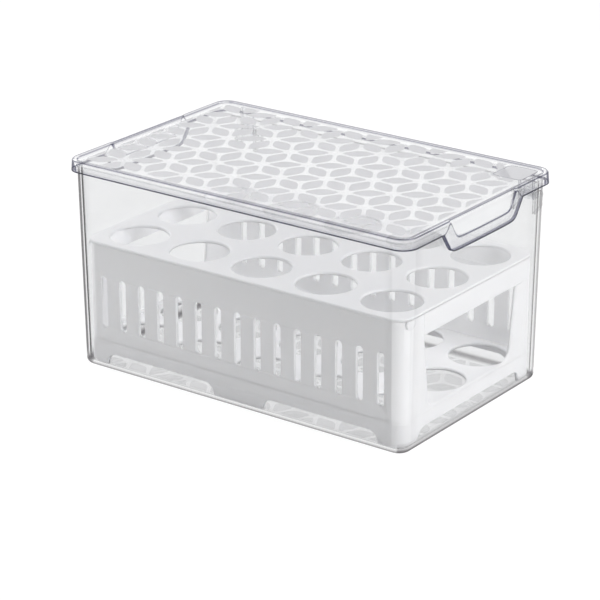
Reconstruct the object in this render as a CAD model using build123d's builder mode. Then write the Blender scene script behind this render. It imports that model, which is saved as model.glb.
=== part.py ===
from build123d import *
import os
from math import atan, cos, radians, sin, sqrt, tan

# Egg keeper: a clear bin with a clear lid hinged on its back, and a white two-level egg rack inside.
# Millimetres. The origin is the centre of the underside, +X runs along the bin, +Y points to the hinge
# side and +Z is up.

os.makedirs("parts", exist_ok=True)

# ---- clear bin ----
BIN_BASE_LENGTH = 247.2
BIN_BASE_WIDTH = 152.0
BIN_HEIGHT = 132.7
BIN_DRAFT = 0.9           # degrees, the walls lean out towards the rim
BIN_WALL = 2.2
BIN_FLOOR = 2.6
BIN_CORNER = 8.5          # upright corners, at the base
BIN_BASE_ROUND = 4.0      # outer edge of the underside
BIN_FLOOR_ROUND = 1.2     # inner edge of the floor
BIN_RIM_ROUND = 0.8

# ---- clear lid ----
LID_CLEARANCE = 0.5       # skirt to bin, all round
LID_SEAT_GAP = 0.3        # plate to rim, when closed
LID_SKIRT = 2.1           # at its lower edge
LID_SKIRT_LEAN = 4.0      # degrees, the outside leans in towards the top
LID_OVERLAP = 3.4         # how far the skirt reaches below the rim
LID_PLATE = 2.5
LID_ROOM_CHAMFER = 0.6    # inside, between skirt and plate
LID_CORNER = 10.5
BEAD_HEIGHT = 1.5         # raised border, above the plate
BEAD_WIDTH = 3.6
BEAD_OUTER_ROUND = 1.8
BEAD_INNER_ROUND = 0.8

# ---- grip flap at the middle of each short side, with a shallow finger scoop ----
FLAP_DROP = 13.3          # below the skirt
FLAP_RISE = 5.4           # flat face above the skirt's lower edge
FLAP_TOP_WIDTH = 87.0     # at the skirt's lower edge
FLAP_HOLLOW = 1.2         # depth of the two curves that run into the skirt
FLAP_BOTTOM_WIDTH = 70.0
FLAP_CORNER = 5.0
SCOOP_DROP = 13.5         # from the top of the bead down to the fold
SCOOP_LEDGE = 0.35        # step at the fold
SCOOP_DEPTH = 1.55        # further in, at the top of the bead
SCOOP_TOP_WIDTH = 74.0
SCOOP_BOTTOM_WIDTH = 58.0
SCOOP_CORNER = 3.5

# ---- hinges on the back: a moulded pin between two ears, and a clip on the lid ----
HINGE_SETBACK = 17.7      # from the bin's end, at the rim, to the middle of each pin
PIN_RADIUS = 2.0
PIN_STANDOFF = 5.1        # wall to pin axis
PIN_DROP = 15.7           # rim to pin axis
EAR_GAP = 13.0            # between the two ears
EAR_THICKNESS = 2.5
EAR_ROUND = 3.1           # nose round the pin
EAR_HEEL_ROUND = 2.6      # lower nose
EAR_HEEL_DROP = 6.6       # pin axis down to the lower nose
EAR_ROOT_SLOPE = 1.7      # how much further down the ear meets the wall
CLIP_BORE_CLEARANCE = 0.05
CLIP_WALL = 1.9
CLIP_SIDE_PLAY = 1.0
CLIP_MOUTH = 3.2          # narrower than the pin, so that it clicks on
CLIP_ARM = 2.3

# ---- egg places, the same on both levels ----
EGG_COLUMNS = 5
EGG_ROWS = 3
EGG_WEB = 10.6            # deck left between two holes
EGG_END_MARGIN = 6.04     # rack's short walls to the nearest holes
EGG_SIDE_MARGIN = 6.44    # rack's long walls to the nearest holes
EGG_HOLE_ROUND = 1.2

# ---- white rack ----
RACK_PLAY = 0.4           # rack to bin, each side, at the floor
RACK_WALL = 2.2
RACK_CORNER = 10.0
RACK_BASE_CHAMFER = 1.1
BAND_TOP = 18.6           # top of the slightly wider band round the base
BAND_STEP = 0.3           # band and upper deck stand this far proud of the walls
LOWER_DECK_TOP = 17.5
LOWER_DECK = 2.0
UPPER_DECK_TOP = 84.0
UPPER_DECK = 2.0
UPPER_DECK_ROUND = 0.8
FLANGE = 1.6
FLANGE_DROP = 15.5        # from the top of the upper deck
POST_WIDTH = 22.0         # front posts, from the front wall
POST_ROUND = 2.0          # top inner corners of the back posts
FLANGE_END_GAP = 0.3
BOSS_RADIUS = 4.2
BOSS_SETBACK = 8.6        # front wall to boss centre
BOSS_DROP = 3.7           # top of the upper deck to boss centre
BOSS_CLEARANCE = 0.3

# ---- openings in the rack's walls ----
SLOT_COUNT = 15
SLOT_MARGIN = 15.4        # rack's end to the centre of the first slot
SLOT_WIDTH = 5.1
SLOT_BOTTOM = 27.1
SLOT_TOP = 61.7
WINDOW_LEAN_IN = 6.2      # each side of a window, from its top down to its sill
WINDOW_SILL = 19.9
WINDOW_CORNER = 8.0
FOOT_TOP = 10.6           # top of the cut-outs between the feet
FOOT_ROUND = 7.5
FOOT_LENGTH = 16.7        # corner feet, along both sides
MIDDLE_FOOT = 37.0        # between the two cut-outs of a long side

# ---- heights and half sizes that follow ----
LEAN = tan(radians(BIN_DRAFT))


def bin_half(base, height):
    """Half the outside size of the bin at a height above the underside."""
    return base / 2 + height * LEAN


RIM_HALF_LENGTH = bin_half(BIN_BASE_LENGTH, BIN_HEIGHT)
RIM_HALF_WIDTH = bin_half(BIN_BASE_WIDTH, BIN_HEIGHT)

LID_LENGTH = 2 * (RIM_HALF_LENGTH + LID_CLEARANCE + LID_SKIRT)
LID_WIDTH = 2 * (RIM_HALF_WIDTH + LID_CLEARANCE + LID_SKIRT)
SKIRT_Z = BIN_HEIGHT - LID_OVERLAP
PLATE_Z = BIN_HEIGHT + LID_SEAT_GAP
PLATE_TOP_Z = PLATE_Z + LID_PLATE
LID_TOP_Z = PLATE_TOP_Z + BEAD_HEIGHT

HINGE_REACH = RIM_HALF_LENGTH - HINGE_SETBACK
PIN_Z = BIN_HEIGHT - PIN_DROP
BACK_WALL_Y = bin_half(BIN_BASE_WIDTH, PIN_Z)
PIN_Y = BACK_WALL_Y + PIN_STANDOFF
CLIP_WIDTH = EAR_GAP - 2 * CLIP_SIDE_PLAY
CLIP_RADIUS = PIN_RADIUS + CLIP_BORE_CLEARANCE + CLIP_WALL

BAND_LENGTH = 2 * (bin_half(BIN_BASE_LENGTH, BIN_FLOOR) - BIN_WALL - RACK_PLAY)
BAND_WIDTH = 2 * (bin_half(BIN_BASE_WIDTH, BIN_FLOOR) - BIN_WALL - RACK_PLAY)
RACK_LENGTH = BAND_LENGTH - 2 * BAND_STEP
RACK_WIDTH = BAND_WIDTH - 2 * BAND_STEP
INSIDE_LENGTH = RACK_LENGTH - 2 * RACK_WALL
INSIDE_WIDTH = RACK_WIDTH - 2 * RACK_WALL
INSIDE_CORNER = RACK_CORNER - RACK_WALL
DECK_SEAT_Z = UPPER_DECK_TOP - UPPER_DECK
FLANGE_Z = UPPER_DECK_TOP - FLANGE_DROP
POST_EDGE_Y = POST_WIDTH - RACK_WIDTH / 2
BOSS_Y = BOSS_SETBACK - RACK_WIDTH / 2
BOSS_Z = UPPER_DECK_TOP - BOSS_DROP

EGG_PITCH_X = (RACK_LENGTH - 2 * EGG_END_MARGIN + EGG_WEB) / EGG_COLUMNS
EGG_PITCH_Y = (RACK_WIDTH - 2 * EGG_SIDE_MARGIN + EGG_WEB) / EGG_ROWS
EGG_HOLE = min(EGG_PITCH_X, EGG_PITCH_Y) - EGG_WEB
SLOT_PITCH = (RACK_LENGTH - 2 * SLOT_MARGIN) / (SLOT_COUNT - 1)
WINDOW_TOP_WIDTH = -2 * POST_EDGE_Y
WINDOW_BOTTOM_WIDTH = WINDOW_TOP_WIDTH - 2 * WINDOW_LEAN_IN
SIDE_CUTOUT_INNER = MIDDLE_FOOT / 2
SIDE_CUTOUT_OUTER = RACK_LENGTH / 2 - FOOT_LENGTH
END_CUTOUT_WIDTH = RACK_WIDTH - 2 * FOOT_LENGTH

# ---- bin ----
BIN_CAVITY_INSET = BIN_WALL - BIN_FLOOR * LEAN

with BuildPart() as bin_shell:
    with BuildSketch(Plane.XY):
        RectangleRounded(BIN_BASE_LENGTH, BIN_BASE_WIDTH, BIN_CORNER)
    extrude(amount=BIN_HEIGHT, taper=-BIN_DRAFT)
    fillet(bin_shell.faces().sort_by(Axis.Z)[0].edges(), BIN_BASE_ROUND)
    with BuildSketch(Plane.XY.offset(BIN_FLOOR)):
        RectangleRounded(
            BIN_BASE_LENGTH - 2 * BIN_CAVITY_INSET,
            BIN_BASE_WIDTH - 2 * BIN_CAVITY_INSET,
            BIN_CORNER - BIN_CAVITY_INSET,
        )
    extrude(amount=BIN_HEIGHT - BIN_FLOOR, taper=-BIN_DRAFT, mode=Mode.SUBTRACT)
    floor_face = bin_shell.faces().filter_by(Plane.XY).sort_by(Axis.Z)[1]
    fillet(floor_face.edges(), BIN_FLOOR_ROUND)
    fillet(bin_shell.faces().sort_by(Axis.Z)[-1].edges(), BIN_RIM_ROUND)
    # hinge ears, rooted inside the back wall
    for side in (-1, 1):
        for end in (-1, 1):
            ear_x = side * HINGE_REACH + end * (EAR_GAP + EAR_THICKNESS) / 2
            with BuildSketch(Plane.YZ.offset(ear_x)):
                with Locations((PIN_Y, PIN_Z)):
                    Circle(EAR_ROUND)
                with Locations((PIN_Y, PIN_Z - EAR_HEEL_DROP)):
                    Circle(EAR_HEEL_ROUND)
                with BuildLine():
                    root_y = BACK_WALL_Y - BIN_WALL / 2
                    Polyline(
                        (root_y, PIN_Z + EAR_ROUND),
                        (PIN_Y, PIN_Z + EAR_ROUND),
                        (PIN_Y + EAR_ROUND / 2, PIN_Z - EAR_HEEL_DROP / 2),
                        (PIN_Y, PIN_Z - EAR_HEEL_DROP - EAR_HEEL_ROUND),
                        (root_y, PIN_Z - EAR_HEEL_DROP - EAR_HEEL_ROUND - EAR_ROOT_SLOPE),
                        close=True,
                    )
                make_face()
            extrude(amount=EAR_THICKNESS / 2, both=True)
        with BuildSketch(Plane.YZ.offset(side * HINGE_REACH)):
            with Locations((PIN_Y, PIN_Z)):
                Circle(PIN_RADIUS)
        extrude(amount=EAR_GAP / 2, both=True)

bin_shell.part.label = "bin"
export_step(bin_shell.part, "parts/bin.step")

# ---- lid ----
SCOOP_LEAN = atan(SCOOP_DEPTH / SCOOP_DROP)
SCOOP_FOLD_Z = LID_TOP_Z - SCOOP_DROP
SCOOP_SLANT = sqrt(SCOOP_DROP**2 + SCOOP_DEPTH**2)


def trapezoid(half_bottom, half_top, low, high):
    """Corner points of an upright trapezoid, from the lower left, in sketch coordinates."""
    return [(-half_bottom, low), (half_bottom, low), (half_top, high), (-half_top, high)]


with BuildPart() as lid:
    with BuildSketch(Plane.XY.offset(SKIRT_Z)):
        RectangleRounded(LID_LENGTH, LID_WIDTH, LID_CORNER)
    extrude(amount=LID_TOP_Z - SKIRT_Z, taper=LID_SKIRT_LEAN)
    fillet(lid.faces().sort_by(Axis.Z)[-1].edges(), BEAD_OUTER_ROUND)
    with BuildSketch(Plane.XY.offset(PLATE_TOP_Z)):
        RectangleRounded(
            LID_LENGTH - 2 * BEAD_WIDTH, LID_WIDTH - 2 * BEAD_WIDTH, LID_CORNER - BEAD_WIDTH
        )
    extrude(amount=BEAD_HEIGHT, mode=Mode.SUBTRACT)
    bead_top = lid.faces().filter_by(Plane.XY).sort_by(Axis.Z)[-1]
    fillet(bead_top.inner_wires().edges(), BEAD_INNER_ROUND)
    # grip flaps: a flat face that runs into the leaning skirt with two hollow curves
    flap_z = SKIRT_Z - FLAP_DROP
    shoulder_z = SKIRT_Z + FLAP_RISE
    for side in (-1, 1):
        with BuildSketch(Plane.YZ.offset(side * (LID_LENGTH - LID_SKIRT) / 2)):
            with BuildLine():
                Polyline(
                    (-FLAP_TOP_WIDTH / 2, SKIRT_Z),
                    (-FLAP_BOTTOM_WIDTH / 2, flap_z),
                    (FLAP_BOTTOM_WIDTH / 2, flap_z),
                    (FLAP_TOP_WIDTH / 2, SKIRT_Z),
                )
                for end in (-1, 1):
                    SagittaArc(
                        (end * FLAP_TOP_WIDTH / 2, SKIRT_Z),
                        (end * SCOOP_TOP_WIDTH / 2, shoulder_z),
                        end * FLAP_HOLLOW,
                    )
                Line((SCOOP_TOP_WIDTH / 2, shoulder_z), (-SCOOP_TOP_WIDTH / 2, shoulder_z))
            make_face()
            fillet(vertices().group_by(Axis.Y)[0], FLAP_CORNER)
        extrude(amount=LID_SKIRT / 2, both=True)
    # room for the bin's rim, narrower just under the plate
    room_corner = LID_CORNER - LID_SKIRT
    with BuildSketch(Plane.XY.offset(SKIRT_Z)):
        RectangleRounded(LID_LENGTH - 2 * LID_SKIRT, LID_WIDTH - 2 * LID_SKIRT, room_corner)
    extrude(amount=PLATE_Z - LID_ROOM_CHAMFER - SKIRT_Z, mode=Mode.SUBTRACT)
    with BuildSketch(Plane.XY.offset(PLATE_Z - LID_ROOM_CHAMFER)):
        RectangleRounded(LID_LENGTH - 2 * LID_SKIRT, LID_WIDTH - 2 * LID_SKIRT, room_corner)
    extrude(amount=LID_ROOM_CHAMFER, taper=45, mode=Mode.SUBTRACT)
    # finger scoops: a face that leans in from the fold up to the bead
    for side in (-1, 1):
        scoop_plane = Plane(
            origin=(side * (LID_LENGTH / 2 - SCOOP_LEDGE), 0, SCOOP_FOLD_Z),
            x_dir=(0, side, 0),
            z_dir=(side * cos(SCOOP_LEAN), 0, sin(SCOOP_LEAN)),
        )
        with BuildSketch(scoop_plane):
            with BuildLine():
                Polyline(
                    *trapezoid(
                        SCOOP_BOTTOM_WIDTH / 2, SCOOP_TOP_WIDTH / 2, 0, SCOOP_SLANT + BEAD_HEIGHT
                    ),
                    close=True,
                )
            make_face()
            fillet(vertices().group_by(Axis.Y)[0], SCOOP_CORNER)
        extrude(amount=2 * (SCOOP_DEPTH + SCOOP_LEDGE), mode=Mode.SUBTRACT)
    # hinge clips
    arm_y = PIN_Y - CLIP_RADIUS + CLIP_ARM / 2
    for side in (-1, 1):
        with BuildSketch(Plane.YZ.offset(side * HINGE_REACH)):
            with Locations((PIN_Y, PIN_Z)):
                Circle(CLIP_RADIUS)
            with Locations((arm_y, (PIN_Z + PLATE_Z) / 2)):
                Rectangle(CLIP_ARM, PLATE_Z - PIN_Z)
            with Locations((PIN_Y, PIN_Z)):
                Circle(PIN_RADIUS + CLIP_BORE_CLEARANCE, mode=Mode.SUBTRACT)
            with Locations((PIN_Y, PIN_Z - CLIP_RADIUS)):
                Rectangle(CLIP_MOUTH, 2 * CLIP_RADIUS, mode=Mode.SUBTRACT)
        extrude(amount=CLIP_WIDTH / 2, both=True)

lid.part.label = "lid"
export_step(lid.part, "parts/lid.step")


def hole_rims(deck):
    """The upper edges of a deck's egg places."""
    round_edges = deck.edges().filter_by(GeomType.CIRCLE).filter_by(
        lambda e: abs(e.radius - EGG_HOLE / 2) < 0.01
    )
    return round_edges.group_by(Axis.Z)[-1]


# ---- rack frame: walls on four sides, with posts and feet ----
with BuildPart() as rack_frame:
    with BuildSketch(Plane.XY.offset(BIN_FLOOR)):
        RectangleRounded(BAND_LENGTH, BAND_WIDTH, RACK_CORNER + BAND_STEP)
    extrude(amount=BAND_TOP - BIN_FLOOR)
    chamfer(rack_frame.faces().sort_by(Axis.Z)[0].edges(), RACK_BASE_CHAMFER)
    with BuildSketch(Plane.XY.offset(BAND_TOP)):
        RectangleRounded(RACK_LENGTH, RACK_WIDTH, RACK_CORNER)
    extrude(amount=DECK_SEAT_Z - BAND_TOP)
    with BuildSketch(Plane.XY.offset(BIN_FLOOR)):
        RectangleRounded(INSIDE_LENGTH, INSIDE_WIDTH, INSIDE_CORNER)
    extrude(amount=DECK_SEAT_Z - BIN_FLOOR, mode=Mode.SUBTRACT)
    # the sides behind the front posts stop where the upper deck's flange begins
    with BuildSketch(Plane.XY.offset(FLANGE_Z)):
        with Locations((0, POST_EDGE_Y)):
            Rectangle(2 * RACK_LENGTH, 2 * RACK_WIDTH, align=(Align.CENTER, Align.MIN))
    extrude(amount=DECK_SEAT_Z - FLANGE_Z, mode=Mode.SUBTRACT)
    # windows in the short sides
    with BuildSketch(Plane.YZ):
        with BuildLine():
            Polyline(
                *trapezoid(WINDOW_BOTTOM_WIDTH / 2, WINDOW_TOP_WIDTH / 2, WINDOW_SILL, FLANGE_Z),
                close=True,
            )
        make_face()
        fillet(vertices().group_by(Axis.Y)[0], WINDOW_CORNER)
    extrude(amount=RACK_LENGTH, both=True, mode=Mode.SUBTRACT)
    post_tops = rack_frame.edges().filter_by(Axis.X).filter_by(
        lambda e: abs(e.center().Z - FLANGE_Z) < 0.01
        and abs(e.center().Y - WINDOW_TOP_WIDTH / 2) < 0.01
    )
    fillet(post_tops, POST_ROUND)
    # slots in the long sides
    with BuildSketch(Plane.XZ):
        with Locations((0, (SLOT_BOTTOM + SLOT_TOP) / 2)):
            with GridLocations(SLOT_PITCH, 1, SLOT_COUNT, 1):
                SlotOverall(SLOT_TOP - SLOT_BOTTOM, SLOT_WIDTH, rotation=90)
    extrude(amount=RACK_WIDTH, both=True, mode=Mode.SUBTRACT)
    # cut-outs between the feet
    with BuildSketch(Plane.XZ):
        for side in (-1, 1):
            with Locations((side * (SIDE_CUTOUT_INNER + SIDE_CUTOUT_OUTER) / 2, FOOT_TOP)):
                RectangleRounded(
                    SIDE_CUTOUT_OUTER - SIDE_CUTOUT_INNER,
                    2 * FOOT_TOP,
                    FOOT_ROUND,
                    align=(Align.CENTER, Align.MAX),
                )
    extrude(amount=RACK_WIDTH, both=True, mode=Mode.SUBTRACT)
    with BuildSketch(Plane.YZ):
        with Locations((0, FOOT_TOP)):
            RectangleRounded(
                END_CUTOUT_WIDTH, 2 * FOOT_TOP, FOOT_ROUND, align=(Align.CENTER, Align.MAX)
            )
    extrude(amount=RACK_LENGTH, both=True, mode=Mode.SUBTRACT)
    # notches in the front posts for the bosses of the upper deck
    with BuildSketch(Plane.YZ):
        with Locations((BOSS_Y, BOSS_Z)):
            Circle(BOSS_RADIUS + BOSS_CLEARANCE)
            Rectangle(
                2 * (BOSS_RADIUS + BOSS_CLEARANCE),
                2 * (UPPER_DECK_TOP - BOSS_Z),
                align=(Align.CENTER, Align.MIN),
            )
    extrude(amount=RACK_LENGTH, both=True, mode=Mode.SUBTRACT)

rack_frame.part.label = "rack_frame"
export_step(rack_frame.part, "parts/rack_frame.step")

# ---- lower deck: fills the frame from wall to wall, as one moulding with it ----
with BuildPart() as lower_deck:
    with BuildSketch(Plane.XY.offset(LOWER_DECK_TOP)):
        RectangleRounded(INSIDE_LENGTH, INSIDE_WIDTH, INSIDE_CORNER)
        with GridLocations(EGG_PITCH_X, EGG_PITCH_Y, EGG_COLUMNS, EGG_ROWS):
            Circle(EGG_HOLE / 2, mode=Mode.SUBTRACT)
    extrude(amount=-LOWER_DECK)
    fillet(hole_rims(lower_deck), EGG_HOLE_ROUND)

lower_deck.part.label = "lower_deck"
export_step(lower_deck.part, "parts/lower_deck.step")

# ---- upper deck: lifts off the posts, as one moulding with the flange and bosses under it ----
with BuildPart() as upper_deck:
    with BuildSketch(Plane.XY.offset(DECK_SEAT_Z)):
        RectangleRounded(BAND_LENGTH, BAND_WIDTH, RACK_CORNER + BAND_STEP)
    extrude(amount=UPPER_DECK)
    fillet(upper_deck.faces().sort_by(Axis.Z)[-1].edges(), UPPER_DECK_ROUND)
    with BuildSketch(Plane.XY.offset(UPPER_DECK_TOP)):
        with GridLocations(EGG_PITCH_X, EGG_PITCH_Y, EGG_COLUMNS, EGG_ROWS):
            Circle(EGG_HOLE / 2)
    extrude(amount=-UPPER_DECK, mode=Mode.SUBTRACT)
    fillet(hole_rims(upper_deck), EGG_HOLE_ROUND)

upper_deck.part.label = "upper_deck"
export_step(upper_deck.part, "parts/upper_deck.step")

# ---- bosses under the upper deck, one in the notch of each front post ----
with BuildPart() as deck_bosses:
    for side in (-1, 1):
        with BuildSketch(Plane.YZ.offset(side * (RACK_LENGTH - FLANGE) / 2)):
            with Locations((BOSS_Y, BOSS_Z)):
                Circle(BOSS_RADIUS)
                Rectangle(
                    2 * BOSS_RADIUS, DECK_SEAT_Z - BOSS_Z, align=(Align.CENTER, Align.MIN)
                )
            with Locations((BOSS_Y, DECK_SEAT_Z)):
                Rectangle(
                    3 * BOSS_RADIUS, 3 * BOSS_RADIUS, align=(Align.CENTER, Align.MIN),
                    mode=Mode.SUBTRACT,
                )
        extrude(amount=FLANGE / 2, both=True)

deck_bosses.part.label = "deck_bosses"
export_step(deck_bosses.part, "parts/deck_bosses.step")

# ---- flange under the upper deck, on three sides ----
with BuildPart() as upper_flange:
    with BuildSketch(Plane.XY.offset(FLANGE_Z)):
        RectangleRounded(RACK_LENGTH, RACK_WIDTH, RACK_CORNER)
        RectangleRounded(
            RACK_LENGTH - 2 * FLANGE, RACK_WIDTH - 2 * FLANGE, RACK_CORNER - FLANGE,
            mode=Mode.SUBTRACT,
        )
        with Locations((0, POST_EDGE_Y + FLANGE_END_GAP)):
            Rectangle(
                2 * RACK_LENGTH, 2 * RACK_WIDTH, align=(Align.CENTER, Align.MAX),
                mode=Mode.SUBTRACT,
            )
    extrude(amount=DECK_SEAT_Z - FLANGE_Z)

upper_flange.part.label = "upper_flange"
export_step(upper_flange.part, "parts/upper_flange.step")
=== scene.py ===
from math import cos, radians, sin, tan

import bmesh
import bpy
import numpy as np
from mathutils import Matrix, Vector

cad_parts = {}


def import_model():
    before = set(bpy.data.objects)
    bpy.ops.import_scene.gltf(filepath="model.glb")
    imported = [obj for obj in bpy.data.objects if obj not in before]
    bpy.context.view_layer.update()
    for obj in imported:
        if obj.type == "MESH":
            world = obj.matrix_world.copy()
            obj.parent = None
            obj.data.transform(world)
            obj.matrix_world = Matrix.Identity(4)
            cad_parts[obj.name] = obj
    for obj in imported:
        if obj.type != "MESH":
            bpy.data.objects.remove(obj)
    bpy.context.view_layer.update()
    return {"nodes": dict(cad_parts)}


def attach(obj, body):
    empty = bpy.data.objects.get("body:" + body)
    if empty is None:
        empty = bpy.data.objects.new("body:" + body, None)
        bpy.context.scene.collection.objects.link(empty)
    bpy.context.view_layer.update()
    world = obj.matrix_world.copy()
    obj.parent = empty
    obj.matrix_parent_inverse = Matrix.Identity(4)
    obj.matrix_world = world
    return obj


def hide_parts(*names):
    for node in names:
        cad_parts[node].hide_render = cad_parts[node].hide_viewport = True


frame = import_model()

MM = 0.001

# ---------------------------------------------------------------- sizes, in millimetres
# clear bin
BIN_HALF = (123.6, 76.0)      # at the base
BIN_CORNER = 8.5
BIN_LEAN = radians(0.9)       # the walls lean out towards the rim
BIN_WALL = 2.2
BIN_FLOOR = 2.6
BIN_TOP = 132.7
BASE_ROUND, FLOOR_ROUND, RIM_ROUND = 4.0, 1.2, 0.8

# clear lid
LID_HALF = (128.285, 80.685)  # at the skirt's lower edge
LID_CORNER = 10.5
LID_LEAN = radians(4.0)       # the skirt leans in towards the plate
SKIRT_LOW = 129.3
SKIRT = 2.1
ROOM_TOP, ROOM_CHAMFER = 133.0, 0.6
PLATE_TOP = 135.5
PLATE_INSET = 6.0             # from the lid's edge to the flat middle of the plate
LID_TOP = 137.0
BEAD = 3.6
BEAD_OUTER, BEAD_INNER = 1.8, 0.8
SKIRT_RINGS, BEAD_STEPS = 46, 8

# grip flap and finger scoop on each short side, with widths from the side's middle
FLAP_DROP = 13.3
FLAP_TOP, FLAP_LOW = 43.5, 35.0
FLAP_SOFT = 4.0               # rounds off its lower corners
FLAP_RISE, FLAP_SHOULDER = 5.4, 37.0
FLAP_ARC = 1.6                # how the top edge of its flat face climbs to the shoulder
FLAT_FACE_FADE = (-0.2, 0.3)  # about that edge, from flat to leaning
FOLD = 123.5
SCOOP_LOW, SCOOP_TOP = 29.0, 37.0
SCOOP_SIDE = 0.86             # cosine of the lean of its sides
SCOOP_SOFT = 2.6              # rounds off its lower corners
SCOOP_EDGE = 0.5              # width of the step round it
SCOOP_LEDGE, SCOOP_LEAN = 0.35, 1.55 / 13.5
FAR = 1e3                     # stands in for the width at stations off the short sides

# hinges on the back
HINGE_X = 107.985
PIN_Y, PIN_Z, PIN = 82.938, 117.0, 2.0
EAR_GAP, EAR = 13.0, 2.5
EAR_NOSE, EAR_HEEL, EAR_HEEL_DROP = 3.1, 2.6, 6.6
EAR_ROOT_DROP, EAR_ROOT_DEPTH = 10.9, 1.0
CLIP_WIDTH, CLIP, CLIP_BORE, CLIP_ARM, CLIP_MOUTH = 11.0, 3.95, 2.05, 2.3, 1.6
HINGE_BEVEL, HINGE_EDGE = 0.35, 0.9

# inside of the white rack, with the sides of its slots and windows, where its faces get a painted glow
RACK_INSIDE = (120.5, 72.9)   # half sizes, up to just behind the outer faces of the walls
DECK_LOW, DECK_HIGH = 17.0, 82.3

# frosted pattern
FIELD_HALF = (120.5, 74.0)
FLOOR_FIELD_HALF = (116.0, 68.0)
LATTICE_X, LATTICE_Y = 24.45, 29.3
LATTICE_SHIFT_X, LATTICE_SHIFT_Y = -0.7, 0.9
LATTICE_COLUMNS, LATTICE_ROWS = 8, 5  # on each side of the middle one, past the field's edges
WEB = 2.75                    # clear plastic left between two cells
TIP_CUT = 5.25                # from a node of the lattice to a cell's blunt tip
TIP_POINT = 0.7               # how far the middle of the tip stands out
CELL_LEAN = radians(30)
SHOULDER = 8.0                # radius of a cell's two wide corners
SMALLEST_CELL = 7.0           # square millimetres that a cropped cell must keep
CELL_LEVELS = (PLATE_TOP + 0.02, PLATE_TOP + 0.12)
FLOOR_CELL_LEVELS = (1.0, 1.15)
PAD_LOW, PAD_HIGH = (100.0, 52.0), (120.5, 74.0)
PAD_CORNER = 3.0
PAD_EDGE_OUT, PAD_EDGE_IN = 0.2, 0.3
PAD_EDGE_LEVELS = (PLATE_TOP + 0.02, PLATE_TOP + 0.16)

# ---------------------------------------------------------------- marks, painted dark lines and shade in place of refraction: strengths from 0 to 1, and widths
# the bin's profile: base edge, outer wall, rim outside, rim inside, inner wall, floor edge
BASE, OUTER, RIM_OUT, INNER = 0, 1, 2, 4
BIN_PAINTED_LINES = (0.85, 0.0, 0.22, 0.22, 0.0, 0.25)  # how dark the painted line along the middle of each rounded part is
BIN_LINE_WIDTH = 0.6          # 1 is half of the rounded part
END_BASE_SHIFT, END_BASE_WIDTH = 0.1, 1.0  # full strength along the base edge of the short sides
BACK_RIM_PAINTED_LINE, BACK_RIM_WIDTH = 0.6, 0.5
BACK_WALL_PAINTED_LINE, BACK_WALL_WIDTH, BACK_WALL_Z = 0.85, 0.5, 127.6
FLAT_EDGE_PAINTED_LINE, SEAM_PAINTED_LINE = 0.07, 0.08
RIGHT_CORNERS_PAINTED_SHADE = 0.6           # painted shade on the right upright corners, against 1 for the left ones

# painted dark lines of the lid, and where they fade
SKIRT_LINE_FULL, SKIRT_LINE_GONE = 0.5, 1.1
ARC_LINE_WIDTH, ARC_LINE_START = 0.4, SCOOP_TOP - 2.5
BEAD_LINE_AT, BEAD_LINE_WIDTH = 146, 13.0  # degrees round the bead
SCOOP_LINE_AT, SCOOP_LINE_WIDTH = 0.1, 0.45
SCOOP_HAZE, SCOOP_HAZE_NONE, SCOOP_HAZE_FULL = 0.3, 0.4, 1.2
INNER_PAINTED_LINE = (0.0, 0.0, 0.7, 0.7)  # painted dark line on the inner side of the skirt, from its middle down
INNER_LINE_FULL, INNER_LINE_GONE = 0.7, 1.3
INNER_LINE_OFF_FLAP = 0.3     # share that is left away from the flaps
TOP_PAINTED_LINE = (0.08, 0.08, 0.10, 0.16, 0.30, 0.42, 0.35, 0.20, 0.0, 0.0)
TOP_LINE_FAR = 1.6            # how much stronger it is on the short sides and at the back
FOOT_UP, FOOT_IN = 0.3, 0.9   # rings beside the bead's foot, between which it fades

# painted dark lines and painted shade on the hinge parts
HINGE_PAINTED_MARKS = {"line": (0.0, 0.8, 0.05, 0.05, 0.8, 0.0), "bend": (0.0, 0.15, 0.15, 0.15, 0.15, 0.0)}
PAD_EDGE_PAINTED_LINE = 0.45

# ---------------------------------------------------------------- looks
WHITE_LIGHT = (1, 1, 1, 1)
BEND_SHADE = (0.43, 0.58, 0.68)    # painted shade: facing where it begins and is full, and its strength there
HOLLOW_SHADE = (0.42, 0.66, 0.95)
UNEVEN = 0.012                # of the tint, up and down
MIRROR_LEAST, MIRROR_MORE, MIRROR_POWER = 0.04, 0.9, 5.0
DARK_DULLS = 0.9              # how much of the extra mirroring a painted dark mark takes away
CELL_GLOW = 0.35              # share of the light that an etched cell passes on
LID_CELL_OPEN, FLOOR_CELL_OPEN = 0.12, 0.86
PAINTED_INNER_GLOW = 0.08            # painted glow of the faces inside the rack, standing in for light through its walls
SHARP_ANGLE = radians(42)     # edges that turn by more stay sharp
AREA_WEIGHT = 100             # large faces lead the shading
WELD = 2e-6                   # metres

FLOOR_HALF = 12.0             # metres
FLOOR_BOUNCE, FLOOR_SEEN = (0.92, 0.92, 0.92, 1), (0.17, 0.17, 0.17, 1)
FLOOR_GLOW = 0.89             # most of the white that is seen is its own
SKY_SEEN, SKY_LIGHT = 1.0, 0.05
LAMPS_TOWARDS = (0, 0, 0.06)
CAMERA_AT = (0.87802, -1.20316, 0.62626)
CAMERA_TURN, CAMERA_DROP, CAMERA_ROLL = radians(36.345), radians(21.252), radians(-0.113)
CAMERA_SENSOR, CAMERA_LENS, CAMERA_SHIFT = 36.0, 152.84, 0.0015
CAMERA_NEAR, CAMERA_FAR = 0.05, 60.0


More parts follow.
